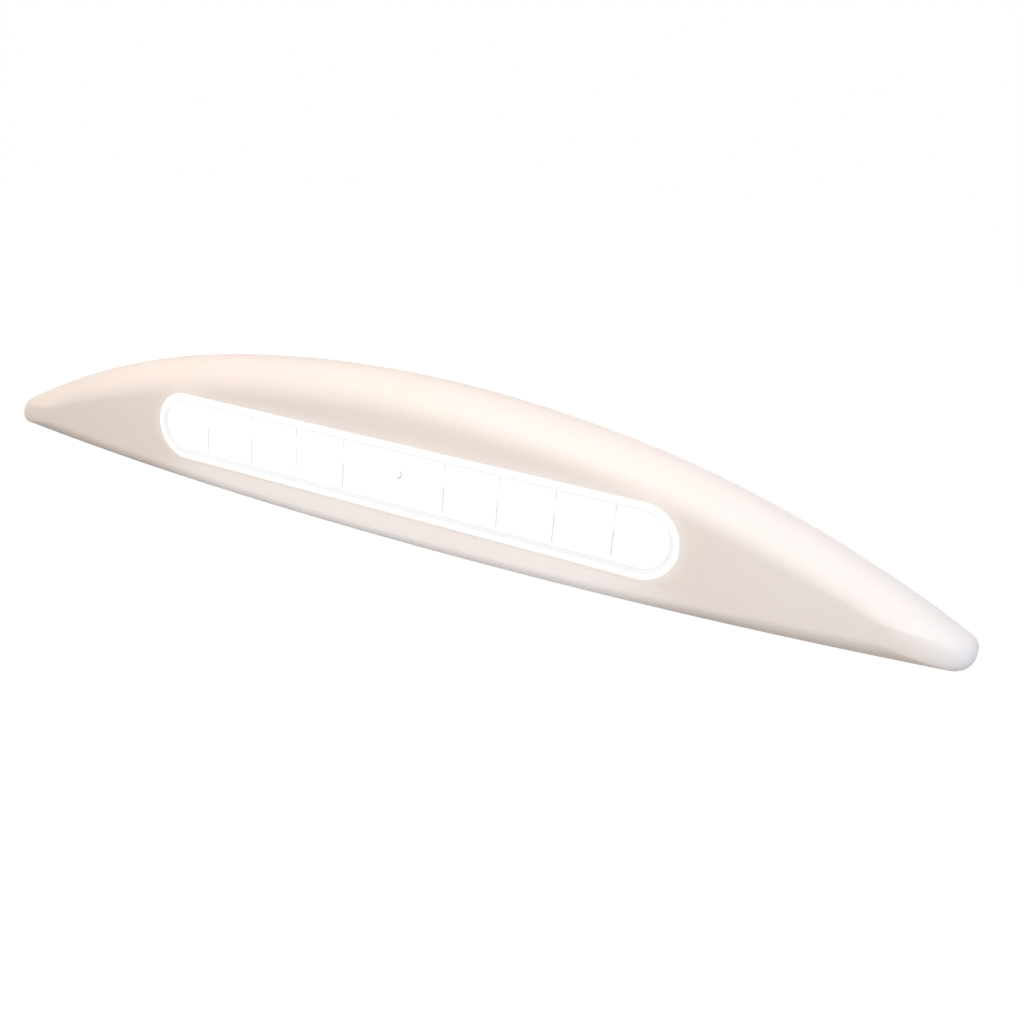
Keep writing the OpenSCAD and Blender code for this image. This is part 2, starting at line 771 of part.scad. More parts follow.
module at_terminal_screws() {
    for (sx = [-1, 1], sz = [-1, 1])
        translate([-terminal_x + sx * terminal_screw_x, 0, wiring_z + sz * terminal_pole]) children();
}

module rod_x(r, l) {
    translate([-l / 2, 0, 0]) rotate([0, 90, 0]) cylinder(r = r, h = l);
}

module terminal_block() {
    color("ivory") difference() {
        block(-terminal_x, wiring_z, terminal_l, terminal_h, plate_d - terminal_t, plate_d);
        at_poles() rod_x(barrel_r, terminal_l + 2 * OVER);
        at_terminal_screws() {
            peg(0, 0, terminal_head_r + hole_gap, plate_d - terminal_t - OVER, terminal_head_d);
            peg(0, 0, small_screw_r + hole_gap, terminal_head_d - OVER, terminal_d);
        }
    }
}

module terminal_barrels() {
    color("gold") difference() {
        at_poles() rod_x(barrel_r, barrel_l);
        at_poles() rod_x(barrel_bore_r, barrel_l + 2 * OVER);
        at_terminal_screws() peg(0, 0, small_screw_r, terminal_d - barrel_r - OVER, terminal_d);
    }
}

module terminal_screws() {
    head_t = 1.2;
    color("silver") at_terminal_screws()
        translate([0, y_at(terminal_head_d), 0]) rotate([-90, 0, 0])
            screw(terminal_head_r, head_t, small_screw_r, terminal_d - lead_r - terminal_head_d);
}

// Place measured from the middle of the driver board
module on_driver(x, z) {
    translate([driver_x + x, 0, wiring_z + z]) children();
}

// Block that stands on the driver board
module on_board(x, z, l, h, t) {
    on_driver(x, z) block(0, 0, l, h, driver_d - t, driver_d);
}

module at_driver_screws() {
    for (side = [-1, 1]) on_driver(side * driver_screw_x, side * driver_screw_z) children();
}

module driver_board() {
    color("seagreen") difference() {
        layer(driver_d, driver_d + driver_t) translate([driver_x, wiring_z]) rounded(driver_l, driver_h, 1);
        at_driver_screws() peg(0, 0, small_screw_r + hole_gap, driver_d - OVER, driver_d + driver_t + OVER);
    }
}

module driver_screws() {
    color("silver") at_driver_screws() small_screw_at(0, 0, driver_d, gasket_d - thread_gap - driver_d);
}

module driver_chip() {
    body_t = 1.5;
    foot_t = 0.4;
    leg_pitch = 1.27;
    leg_z = 2.3;
    color("black") {
        on_driver(chip_x, 0) block(0, 0, chip_l, 3.9, driver_d - body_t, driver_d - foot_t / 4);
        for (i = [-1.5 : 1 : 1.5], side = [-1, 1])
            on_board(chip_x + i * leg_pitch, side * leg_z, 0.45, 1.5, foot_t);
    }
}

module inductor() {
    core_t = 4;
    cap_in = 0.8;
    cap_t = 0.3;
    color("dimgray") on_driver(inductor_x, 0) {
        layer(driver_d - core_t, driver_d) rounded(core_w, core_w, 1.6);
        peg(0, 0, core_w / 2 - cap_in, driver_d - core_t - cap_t, driver_d - core_t);
    }
}

module capacitors() {
    foot_t = 0.8;
    can_in = 0.15;
    can_t = 4.6;
    can_d = driver_d - foot_t;
    can_step = can_w + row_gap;
    color("lightgray") for (i = [0, 1]) on_driver(first_can_x + i * can_step, (2 * i - 1) * can_z) {
        layer(can_d, driver_d) rounded(can_w, can_w, 0.6);
        peg(0, 0, can_w / 2 - can_in, can_d - can_t, can_d);
    }
}

module diodes() {
    diode_h = 2.6;
    diode_step = 3.6;
    first_z = diode_h / 2 + 2 * edge_gap - driver_h / 2;
    color("black") for (i = [0, 1]) on_board(diode_x, first_z + i * diode_step, diode_l, diode_h, 2.1);
}

module resistors() {
    color("black") for (x = [chip_x, inductor_x], side = [-1, 1])
        on_board(x, side * resistor_z, 3.2, resistor_h, 0.6);
}

module wire_sockets() {
    color("ivory") {
        for (side = [-1, 1]) on_board(side * socket_x, -side * socket_z, socket_l, socket_h, socket_t);
        block(board_screw_x, light_socket_z, socket_h, light_socket_h, board_d - socket_t, board_d);
    }
}

// Point of a smooth curve from a to d, leaving towards b and arriving from c
function curve(a, b, c, d, t) =
    pow(1 - t, 3) * a + 3 * t * pow(1 - t, 2) * b + 3 * t * t * (1 - t) * c + t * t * t * d;

function curve_way(a, b, c, d, t) =
    let (v = (1 - t) * (1 - t) * (b - a) + 2 * t * (1 - t) * (c - b) + t * t * (d - c)) v / norm(v);

// Insulated lead along a smooth curve in front of the base plate
module lead(a, b, c, d) {
    skin([for (k = [0 : LEAD_RINGS])
        let (t = k / LEAD_RINGS,
             at = curve(a, b, c, d, t),
             way = curve_way(a, b, c, d, t),
             u = cross(way, [0, 1, 0]) / norm(cross(way, [0, 1, 0])),
             v = cross(way, u))
        [for (i = [0 : LEAD_SIDES - 1])
            let (w = 360 * i / LEAD_SIDES) at + lead_r * (cos(w) * u + sin(w) * v)]]);
}

// Lead from a terminal barrel to the near socket of the driver board
module supply_lead(side) {
    start = [-terminal_x + 1, y_at(terminal_d), wiring_z + side * terminal_pole];
    end = [driver_x - socket_x - socket_l / 2, y_at(wire_d), wiring_z + socket_z + side * wire_gap];
    slack = 14;
    lead(start, start + [slack, 0, 0], end - [slack, 0, 0], end);
}

// Lead from the far socket of the driver board to the light board
module light_lead(side) {
    start = [driver_x + socket_x + socket_l / 2, y_at(wire_d), wiring_z - socket_z + side * wire_gap];
    end = [board_screw_x + side * wire_gap, y_at(board_d - socket_t / 2), light_socket_z + light_socket_h / 2];
    slack = 30;
    drop = 10;
    spread = 2 * side;
    lead(start, start + [slack + spread, 0, 0], end + [0, 0, drop + spread], end);
}

module supply_lead_positive() {
    color("red") supply_lead(1);
}

module supply_lead_negative() {
    color("black") supply_lead(-1);
}

module light_lead_positive() {
    color("red") light_lead(1);
}

module light_lead_negative() {
    color("black") light_lead(-1);
}

housing();
lens();
lens_seal();
reflector();
reflector_screw();
led_packages();
led_phosphors();
led_board();
thermal_pad();
heat_spreader();
board_screws();
base_plate();
cover_seal();
wall_gasket();
cover_screws();
cable_grommet();
cable_clamp();
clamp_screws();
terminal_block();
terminal_barrels();
terminal_screws();
driver_board();
driver_screws();
driver_chip();
inductor();
capacitors();
diodes();
resistors();
wire_sockets();
supply_lead_positive();
supply_lead_negative();
light_lead_positive();
light_lead_negative();
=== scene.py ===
import json
import math

import bmesh
import bpy
from mathutils import Matrix, Vector

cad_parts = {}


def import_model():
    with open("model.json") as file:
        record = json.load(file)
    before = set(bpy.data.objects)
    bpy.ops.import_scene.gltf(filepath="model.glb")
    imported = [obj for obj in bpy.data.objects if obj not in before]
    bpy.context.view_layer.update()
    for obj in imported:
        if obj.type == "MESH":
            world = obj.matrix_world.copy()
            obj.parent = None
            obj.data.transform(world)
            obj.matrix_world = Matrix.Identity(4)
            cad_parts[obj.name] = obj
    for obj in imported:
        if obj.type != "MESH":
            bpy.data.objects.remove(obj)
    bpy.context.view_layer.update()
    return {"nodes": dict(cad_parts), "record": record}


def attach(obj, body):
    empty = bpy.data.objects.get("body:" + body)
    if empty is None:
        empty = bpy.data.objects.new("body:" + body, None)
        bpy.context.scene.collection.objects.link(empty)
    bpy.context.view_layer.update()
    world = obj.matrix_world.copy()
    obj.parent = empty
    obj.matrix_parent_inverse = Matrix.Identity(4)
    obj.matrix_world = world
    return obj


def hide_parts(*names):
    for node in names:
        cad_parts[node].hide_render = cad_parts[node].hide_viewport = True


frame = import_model()
nodes = frame["nodes"]

QUARTER = math.pi / 2

# Sizes in metres. X runs along the lamp, Y into the wall and Z up from the window's middle line.
# Depths run back from the flat face.
MM = 0.001
BODY_L = 408 * MM
BODY_D = 16 * MM
CROWN_H = 36.4 * MM
KEEL_H = 25.2 * MM
NOSE_R = 5.2 * MM
NOSE_DROP = 13.6 * MM  # from the window's middle line down to the noses' centres
CROWN_FLAT = 1.12  # radius of the crown's arc, as a share of a plain arch's
CROWN_HALF = 90 * MM  # half the width of the crown's arc
WALL = 2.2 * MM
RIM_D = BODY_D - 0.4 * MM  # the cover ends a little before the wall that the lamp is screwed to

# Rounded edge of the cover: widths seen from the front, and depths
TOP_ROLL = 14.4 * MM
KEEL_ROLL = 4.7 * MM
KEEL_ROLL_D = 4 * MM
NOSE_ROLL_D = 8.4 * MM
KEEL_FADE = 3  # power by which the depth falls from the nose to the keel
RIM_LAND = 1.5 * MM  # straight strip behind the rounded edge, at the top

# Flat face of the cover, and the inset outlines of its inside
FACE_HALF = BODY_L / 2 - 28 * MM
POINT_RISE = 3.6 * MM  # from the noses' centres up to those of the face's points
POINT_R = 3 * MM
INNER_FLAT = 2.2 * MM  # how far the inner face is grown from the outer one
TIP_DRAW = 2.4  # how quickly the tips draw in once the inset passes the nose's radius
LEAST_NOSE_R = 1 * MM

# Window, light cells and reflector
PITCH = 22 * MM
CELLS = 10
WINDOW_OVER = 2.8 * MM  # how much longer the window is than the row of cells
WINDOW_L = CELLS * PITCH + WINDOW_OVER
WINDOW_H = 26.2 * MM
WINDOW_R = WINDOW_H / 2
WINDOW_LINE_HALF = (WINDOW_L - WINDOW_H) / 2
RIM_W = 2.4 * MM
STEP_R = WINDOW_R - RIM_W  # where the lens's rim steps down, from the window's middle line
FLANGE_END_D = 4.5 * MM
REFLECTOR_D = 3 * MM
FRAME_T = 1.1 * MM

# Fixings inside the cover
ROOT = 0.6 * MM  # how far stakes and pads reach into the wall
STAKE_R = 0.9 * MM
STAKE_HEAD_R = 1.6 * MM
STAKE_HEAD_H = 0.7 * MM
STAKE_OUT = 3.3 * MM
STAKE_STEP = CELLS * PITCH / 5
HOOK_X = 90 * MM
LEDGE_D = 8.6 * MM
LEDGE_T = 1.8 * MM
LEDGE_W = 10 * MM
LEDGE_REACH = 4.2 * MM
LEDGE_ROOT = 0.2 * MM
COVER_SCREW_X = 155 * MM
COVER_SCREW_D = 8.2 * MM
COVER_HEAD_R = 2.9 * MM
COVER_HEAD_H = 1.8 * MM
COVER_HOLE_R = 1.65 * MM
COVER_PAD_R = 3.8 * MM
COVER_PAD_H = 1.6 * MM
CUT_OVER = 1 * MM  # how far a cutter passes the surfaces that it opens

# Fillets, and where the flat face and the rounded edge may start, from the window's wall
WINDOW_FILLET = 0.35 * MM
RIM_FILLET = 0.35 * MM
FACE_START = 2 * WINDOW_FILLET
ROLL_START = 3 * WINDOW_FILLET

# Fineness of the cover's mesh: crown to nose, round the nose, nose to keel, and across the rounded edge
TOP_STEPS = 180
NOSE_STEPS = 24
KEEL_STEPS = 120
FACE_STEPS = 5
ROLL_STEPS = 28
INNER_STEPS = 6
FILLET_STEPS = 5
STAKE_SIDES = 24
PAD_SIDES = 40
HOLE_SIDES = 64
HALVINGS = 30
SHARP_ANGLE = math.radians(35)

# Painted glow on the cover round the window: reaches from the window's edge, half widths below it, and
# shares
WIDE_REACH = 5 * MM
WIDE_SHARE = 0.45
CLOSE_REACH = 0.8 * MM
CLOSE_FULL = 0.2 * MM
CLOSE_SHARE = 0.6
BELOW_START = 0.5 * MM  # above the window's lower edge
BELOW_FULL = 2.5 * MM  # below it
BELOW_HALF = 80 * MM
BELOW_HALF_END = 125 * MM
PAINTED_GLOW_STRENGTH = 0.18
PAINTED_GLOW_COLOUR = (0.64, 0.78, 0.93)

# Lens: the grey band of painted shade on both sides of the rim's step, narrower towards the top, and the
# painted glow of each part
BAND_IN = 1.1 * MM
BAND_OUT = 1.3 * MM
BAND_BLUR = 0.2 * MM
BAND_NARROWING = 0.8 * MM
NARROW_FROM = 2 * MM
NARROW_TO = 10 * MM
BAND_GLOW = (0.86, 0.96)
RIM_BLUR = 0.15 * MM
RIM_GLOW = 1.15
FLANGE_BLUR = 0.4 * MM
FLANGE_GLOW = 0.8

# Reflector: what counts as its front edges, which are painted darker, the painted glare along them, and
# the painted glow of each part
SIDE_NORMAL = 0.4  # the normal's part along Y, up to which a face is a side and from which it is a front
FRONT_NORMAL = 0.9
EDGE_SKIN = 0.1 * MM
EDGE_SKIN_END = 0.3 * MM
EDGE_SHADE_COLOUR = (0.1, 0.1, 0.1)
FRAME_BLUR = 0.3 * MM
GLARE_Z = 4 * MM
GLARE_NEAR = 1 * MM
GLARE_FAR = 5 * MM
GLARE_GLOW = (0.85, 0.66)
FRAME_GLOW = 1.0
CELL_GLOW = 1.3

# Reflector's screw: the ring of its head's edge, the part of the ring that stays dark as painted shade,
# and the painted glow
RING_IN = 1.1 * MM
RING_IN_FULL = 1.5 * MM
RING_OUT_FULL = 2.0 * MM
RING_OUT = 2.3 * MM
ARC_TILT = 0.4
ARC_BLUR = 1.2 * MM
HEAD_GLOW = 1.1
ARC_GLOW = 0.4
SCREW_GLOW_COLOUR = (1, 0.93, 0.9)

# Patches of noise: the levels between which they run, and the least roughness that they reach
NOISE_LOW = 0.3
NOISE_HIGH = 0.7
LEAST_ROUGHNESS = 0.02

# Closed-cell foam: the pores' size, depth and the painted shade that darkens them, and where a pore's wall
# rises, from its centre
PORE_SIZE = 0.45 * MM
PORE_DEPTH = 0.08 * MM
PORE_SHADE = 0.45
PORE_FLOOR = 0.1
PORE_RIM = 0.5

# Plain materials by their slot in the record
RUBBERS = {
    "seal_rubber": (0.03, 0.03, 0.03),
    "grommet_rubber": (0.02, 0.02, 0.02),
    "pad_blue": (0.26, 0.4, 0.52),
}
METALS = {
    "screw_steel": dict(colour=(0.55, 0.54, 0.52), roughness=0.3),
    "spreader_aluminium": dict(colour=(0.75, 0.76, 0.77), roughness=0.35, brushed=(0.15, 1, 1)),
    "can_aluminium": dict(colour=(0.72, 0.72, 0.71), roughness=0.3),
    "barrel_brass": dict(colour=(0.72, 0.5, 0.2), roughness=0.3),
}
PLASTICS = {
    "base_plastic": dict(colour=(0.72, 0.7, 0.66), roughness=0.55, size=1.2 * MM, depth=0.02 * MM),
    "clamp_nylon": dict(colour=(0.7, 0.68, 0.62)),
    "terminal_nylon": dict(colour=(0.7, 0.67, 0.55)),
    "socket_nylon": dict(colour=(0.74, 0.71, 0.6)),
    "board_green": dict(colour=(0.01, 0.09, 0.035), roughness=0.3),
    "component_black": dict(colour=(0.012, 0.012, 0.013), roughness=0.45, patches=0.1),
    "core_grey": dict(colour=(0.035, 0.035, 0.037), roughness=0.6, patches=0.1),
    "lead_red": dict(colour=(0.42, 0.01, 0.008), roughness=0.4),
    "lead_black": dict(colour=(0.01, 0.01, 0.01), roughness=0.4, patches=0.1),
}

# Blender's Mix node, by kind of data: the places of its factor, its two values and its result
MIX_SOCKETS = {"FLOAT": (0, 2, 3, 0), "RGBA": (0, 6, 7, 2)}

# Ambient light: the direction that it comes from and its colour
AMBIENT = [
    ((-0.72, -0.1, 0.69), (0.88, 0.70, 0.46)),
    ((0, 0, 1), (0.08, 0.11, 0.27)),
    ((1, 0, 0), (0.24, 0.25, 0.29)),
    ((0, 1, 0), (0.44, 0.38, 0.36)),
]

# Lamps: name, place, size, power in watts, colour and the point that they aim at
LAMPS = [
    ("key_softbox", (-0.05, -0.5, 0.45), (0.5, 0.2), 3.5, (1.0, 0.97, 0.96), (0, 0, 0)),
    ("right_softbox", (0.6, -0.3, 0.3), (0.4, 0.4), 1.9, (0.58, 0.76, 0.96), (0.12, 0, 0)),
    ("nose_softbox", (0.45, -0.12, 0.05), (0.2, 0.2), 0.17, (0.75, 0.83, 1.0), (0.2, 0, -0.01)),
    ("low_softbox", (0.22, -0.02, -0.35), (0.3, 0.2), 0.2, (1.0, 0.93, 0.85), (0.1, 0, -0.02)),
    ("back_softbox", (0, 0.7, 0), (0.5, 0.3), 3.0, (1.0, 1.0, 1.0), (0, 0, 0)),
]

# Floor: how far it lies below the lamp, half its width, and how far it is lifted towards white
FLOOR_DROP = 0.6
FLOOR_HALF = 8
FLOOR_LIFT = 0.85


def y_at(depth):
    """Y of a depth behind the flat face."""
    return depth - BODY_D


def smooth(t):
    """Smooth step from 0 to 1."""
    return t * t * (3 - 2 * t)


class Arch:
    """Half an arch: one arc from the crown at x = 0 to a shoulder, and one from there to a nose circle."""

    def __init__(self, half, rise, r, flat=1, shoulder=0):
        run = half - r
        plain = (run * run + rise * rise - r * r) / (2 * (rise - r))
        self.r1 = flat * plain
        self.a1 = math.asin(shoulder / self.r1)
        self.c1 = Vector((0, rise - self.r1))
        to_nose = Vector((run, self.r1 - rise))
        along = Vector((math.sin(self.a1), math.cos(self.a1)))
        reach = self.r1 - r
        shift = (to_nose.dot(to_nose) - reach * reach) / (2 * (to_nose.dot(along) - reach))
        self.r2 = self.r1 - shift
        self.c2 = self.c1 + shift * along
        self.end = math.atan2(run - self.c2.x, -self.c2.y)

    def point(self, share):
        """Point at a share of the way from the crown to the nose."""
        first = self.r1 * self.a1
        way = share * (first + self.r2 * (self.end - self.a1))
        if way < first:
            angle = way / self.r1
            return self.c1 + self.r1 * Vector((math.sin(angle), math.cos(angle)))
        angle = self.a1 + (way - first) / self.r2
        return self.c2 + self.r2 * Vector((math.sin(angle), math.cos(angle)))

    def on_first(self, x):
        return x < self.r1 * math.sin(self.a1)

    def height(self, x):
        if self.on_first(x):
            return self.c1.y + math.sqrt(self.r1 * self.r1 - x * x)
        return self.c2.y + math.sqrt(self.r2 * self.r2 - (x - self.c2.x) ** 2)

    def slope(self, x):
        if self.on_first(x):
            return math.asin(x / self.r1)
        return math.asin((x - self.c2.x) / self.r2)


def mirrored(half):
    """Closed outline from its right half, which runs from the top to the bottom."""
    return half + [Vector((-p.x, p.y)) for p in half[-2:0:-1]]


def crescent(half, crown, keel, drop, r, flat=1, shoulder=0):
    """Closed crescent of two arches and two noses, clockwise from the crown."""
    top = Arch(half, crown + drop, r, flat, shoulder)
    low = Arch(half, keel - drop, r)
    nose = Vector((half - r, -drop))
    start = QUARTER - top.end
    end = low.end - QUARTER
    points = [top.point(i / TOP_STEPS) - Vector((0, drop)) for i in range(TOP_STEPS + 1)]
    for i in range(1, NOSE_STEPS + 1):
        a = start + (end - start) * i / NOSE_STEPS
        points.append(nose + r * Vector((math.cos(a), math.sin(a))))
    for i in range(1, KEEL_STEPS + 1):
        p = low.point(1 - i / KEEL_STEPS)
        points.append(Vector((p.x, -p.y - drop)))
    return mirrored(points)


def outline(inset):
    """The cover's outline seen from the front, set in by a distance."""
    half = BODY_L / 2 - inset - TIP_DRAW * max(0, inset - NOSE_R + LEAST_NOSE_R)
    r = max(NOSE_R - inset, LEAST_NOSE_R)
    return crescent(half, CROWN_H - inset, KEEL_H - inset, NOSE_DROP, r, CROWN_FLAT, CROWN_HALF)


def face_outline(grow):
    """The outline of the flat face, grown by a distance."""
    return crescent(FACE_HALF + grow, CROWN_H - TOP_ROLL + grow, KEEL_H - KEEL_ROLL + grow,
                    NOSE_DROP - POINT_RISE, POINT_R + grow)


def window_axis_point(p):
    """Nearest point of the line between the centres of the window's round ends."""
    return Vector((max(-WINDOW_LINE_HALF, min(WINDOW_LINE_HALF, p.x)), 0))


def in_window(p, grow):
    return (p - window_axis_point(p)).length < WINDOW_R + grow


def window_share(face, edge, grow):
    """Share of the way from face to edge that lies within the window grown by a distance."""
    if not in_window(face, grow):
        return 0
    low, high = 0, 1
    for _ in range(HALVINGS):
        share = (low + high) / 2
        if in_window(face.lerp(edge, share), grow):
            low = share
        else:
            high = share
    return high


def roll_depths():
    """Depth of the rounded edge at each point of the outline."""
    top = RIM_D - RIM_LAND
    half = [top] * (TOP_STEPS + 1)
    half += [top + (NOSE_ROLL_D - top) * smooth(i / NOSE_STEPS) for i in range(1, NOSE_STEPS + 1)]
    half += [KEEL_ROLL_D + (NOSE_ROLL_D - KEEL_ROLL_D) * (1 - i / KEEL_STEPS) ** KEEL_FADE
             for i in range(1, KEEL_STEPS + 1)]
    return half + half[-2:0:-1]


def flat_ring(edge, depth):
    return [Vector((p.x, y_at(depth), p.y)) for p in edge]


def roll_point(f, e, depth, inset, angle):
    """Point of the rounded edge: angle 0 at the flat face and a right angle at the straight land."""
    p = f + (e - f) * math.sin(angle)
    return Vector((p.x, y_at(depth - (depth - inset) * math.cos(angle)), p.y))


def roll_ring(face, edge, depths, inset, share, starts=None):
    """Ring of the rounded edge, at a share of the way from each point's starting angle to the land."""
    starts = starts or [0] * len(face)
    return [roll_point(f, e, depth, inset, start + (QUARTER - start) * share)
            for f, e, depth, start in zip(face, edge, depths, starts)]


def window_ring(face, edge, depths, grow, sink=0):
    """Ring on the cover's front round the window grown by a distance, let in by a depth."""
    ring = []
    for f, e, depth in zip(face, edge, depths):
        share = window_share(f, e, grow)
        if share:
            p = roll_point(f, e, depth, 0, math.asin(share))
        else:
            centre = window_axis_point(f)
            q = centre + (f - centre).normalized() * (WINDOW_R + grow)
            p = Vector((q.x, y_at(0), q.y))
        ring.append(p + Vector((0, sink, 0)))
    return ring


def between(first, second, share):
    """Ring at a share of the way from the first to the second."""
    return [a.lerp(b, share) for a, b in zip(first, second)]


def fillet_steps(r):
    """How far a quarter-round fillet of radius r has run across and along at each of its steps."""
    angles = [k / FILLET_STEPS * QUARTER for k in range(FILLET_STEPS + 1)]
    return [(r - r * math.cos(a), r * math.sin(a)) for a in angles]


def front_rings(face, outer, depths):
    """Rings from the window's wall over its fillet, the flat face and the rounded edge."""
    wall = window_ring(face, outer, depths, 0)
    rings = [[Vector((p.x, y_at(WALL), p.z)) for p in wall]]
    for grow, rise in fillet_steps(WINDOW_FILLET):
        rings.append(window_ring(face, outer, depths, grow, WINDOW_FILLET - rise))
    starts = [math.asin(window_share(f, e, ROLL_START)) for f, e in zip(face, outer)]
    near = window_ring(face, outer, depths, FACE_START)
    far = roll_ring(face, outer, depths, 0, 0, starts)
    rings += [between(near, far, k / FACE_STEPS) for k in range(FACE_STEPS)]
    rings += [roll_ring(face, outer, depths, 0, k / ROLL_STEPS, starts) for k in range(ROLL_STEPS + 1)]
    return rings


def cover_rings():
    """Rings from the window's edge over the front, round the rim and back along the inside."""
    depths = roll_depths()
    rings = front_rings(face_outline(0), outline(0), depths)
    for inset, sink in fillet_steps(RIM_FILLET):
        rings.append(flat_ring(outline(inset), RIM_D - RIM_FILLET + sink))
    rings.append(flat_ring(outline(WALL - RIM_FILLET), RIM_D))
    rings.append(flat_ring(outline(WALL), RIM_D - RIM_FILLET))
    inner_face, inner = face_outline(INNER_FLAT), outline(WALL)
    for k in range(INNER_STEPS + 1):
        rings.append(roll_ring(inner_face, inner, depths, WALL, 1 - k / INNER_STEPS))
    return rings


def mesh_object(name, bm):
    """Object in the scene from a bmesh, which is freed."""
    mesh = bpy.data.meshes.new(name)
    bmesh.ops.recalc_face_normals(bm, faces=bm.faces)
    bm.to_mesh(mesh)
    bm.free()
    obj = bpy.data.objects.new(name, mesh)
    bpy.context.scene.collection.objects.link(obj)
    return obj


def add_band(bm, first, second):
    """Faces between two closed loops of as many points."""
    count = len(first)
    for i in range(count):
        j = (i + 1) % count
        bm.faces.new((first[i], first[j], second[j], second[i]))


def add_closed_rings(bm, rings):
    loops = [[bm.verts.new(p) for p in ring] for ring in rings]
    for first, second in zip(loops, loops[1:] + loops[:1]):
        add_band(bm, first, second)


def add_turned(bm, profile, place, sides):
    """Closed turned solid: profile gives (height, radius) along the place's own Z."""
    turns = [2 * math.pi * i / sides for i in range(sides)]
    loops = []
    for height, r in profile:
        ring = [place @ Vector((r * math.cos(a), r * math.sin(a), height)) for a in turns]
        loops.append([bm.verts.new(p) for p in ring])
    for first, second in zip(loops, loops[1:]):
        add_band(bm, first, second)
    bm.faces.new(loops[0][::-1])
    bm.faces.new(loops[-1])


def add_block(bm, low, high, place):
    centre = (Vector(low) + Vector(high)) / 2
    size = Vector(high) - Vector(low)
    matrix = place @ Matrix.Translation(centre) @ Matrix.Diagonal((*size, 1))
    bmesh.ops.create_cube(bm, size=1, matrix=matrix)


def into_wall(x, z):
    """Place whose own Z runs along +Y from the flat face."""
    return Matrix.Translation((x, y_at(0), z)) @ Matrix.Rotation(-QUARTER, 4, "X")


def stake_places():
    """Five places above and five below the window, and one at each end."""
    z = WINDOW_R + STAKE_OUT
    places = [(i * STAKE_STEP, side * z) for i in range(-2, 3) for side in (-1, 1)]
    return places + [(side * (WINDOW_L / 2 + STAKE_OUT), 0) for side in (-1, 1)]


def cover_screw_places():
    """Places on the keel whose own Z runs up into the cover."""
    keel = Arch(BODY_L / 2, KEEL_H - NOSE_DROP, NOSE_R)
    z = -keel.height(COVER_SCREW_X) - NOSE_DROP
    return [Matrix.Translation((side * COVER_SCREW_X, y_at(COVER_SCREW_D), z)) for side in (-1, 1)]


def add_stakes(bm):
    """Headed stakes that hold the lens by its flange."""
    profile = [(WALL - ROOT, STAKE_R), (FLANGE_END_D, STAKE_R), (FLANGE_END_D, STAKE_HEAD_R),
               (FLANGE_END_D + STAKE_HEAD_H, STAKE_HEAD_R)]
    for x, z in stake_places():
        add_turned(bm, profile, into_wall(x, z), STAKE_SIDES)


def add_ledges(bm):
    """Catch ledges under the top, for the base plate's hooks."""
    top = Arch(BODY_L / 2, CROWN_H + NOSE_DROP, NOSE_R, CROWN_FLAT, CROWN_HALF)
    for side in (-1, 0, 1):
        x = side * HOOK_X
        edge = Matrix.Translation((x, 0, top.height(abs(x)) - NOSE_DROP))
        tilt = Matrix.Rotation(side * top.slope(HOOK_X), 4, "Y")
        place = edge @ tilt @ Matrix.Translation((0, 0, -WALL))
        add_block(bm, (-LEDGE_W / 2, y_at(LEDGE_D), -LEDGE_REACH),
                  (LEDGE_W / 2, y_at(LEDGE_D + LEDGE_T), LEDGE_ROOT), place)


def add_screw_pads(bm):
    """Round pads for the cover screws."""
    for place in cover_screw_places():
        add_turned(bm, [(WALL - ROOT, COVER_PAD_R), (WALL + COVER_PAD_H, COVER_PAD_R)], place, PAD_SIDES)


def inner_features():
    bm = bmesh.new()
    add_stakes(bm)
    add_ledges(bm)
    add_screw_pads(bm)
    return mesh_object("inner_features", bm)


def screw_cutters():
    """Stepped holes for the cover screws' heads and shanks."""
    bm = bmesh.new()
    profile = [(-CUT_OVER, COVER_HEAD_R), (COVER_HEAD_H, COVER_HEAD_R), (COVER_HEAD_H, COVER_HOLE_R),
               (WALL + COVER_PAD_H + CUT_OVER, COVER_HOLE_R)]
    for place in cover_screw_places():
        add_turned(bm, profile, place, HOLE_SIDES)
    return mesh_object("screw_cutters", bm)


def combine(obj, tool, operation):
    """Joins or cuts with another mesh, which is then removed."""
    modifier = obj.modifiers.new(operation, "BOOLEAN")
    modifier.operation = operation
    modifier.solver = "EXACT"
    modifier.object = tool
    graph = bpy.context.evaluated_depsgraph_get()
    mesh = bpy.data.meshes.new_from_object(obj.evaluated_get(graph))
    obj.modifiers.clear()
    old = obj.data
    obj.data = mesh
    bpy.data.meshes.remove(old)
    bpy.data.objects.remove(tool)


def build_cover():
    """The cover as one shell with its stakes, ledges, pads and screw holes."""
    bm = bmesh.new()
    add_closed_rings(bm, cover_rings())
    cover = mesh_object("cover_shell", bm)
    combine(cover, inner_features(), "UNION")
    combine(cover, screw_cutters(), "DIFFERENCE")
    cover.data.polygons.foreach_set("use_smooth", [True] * len(cover.data.polygons))
    cover.data.set_sharp_from_angle(angle=SHARP_ANGLE)
    return cover


